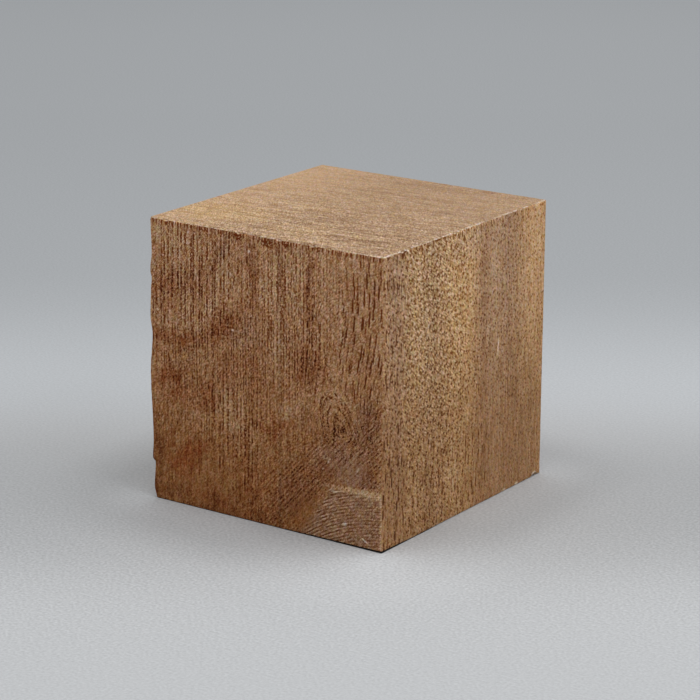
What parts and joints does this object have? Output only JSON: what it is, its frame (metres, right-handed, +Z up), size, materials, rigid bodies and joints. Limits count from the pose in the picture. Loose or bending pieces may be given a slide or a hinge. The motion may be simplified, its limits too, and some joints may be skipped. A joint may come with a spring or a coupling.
{
  "type": "wooden cube",
  "caption": "Solid hardwood block, nearly a cube, with upright grain, planed sides, sanded ends and one saw-cut side.",
  "frame": {"origin": "centre of the foot, the sanded end that the block stands on", "axes": "+Z up along the grain, -Y towards the front face, +X towards the planed right side, -X towards the side left as the saw cut it"},
  "size_m": [0.0482, 0.05, 0.05],
  "materials": {
    "hardwood": "bare, planed and sanded"
  },
  "bodies": {
    "root": {"block": "hardwood"}
  },
  "joints": []
}
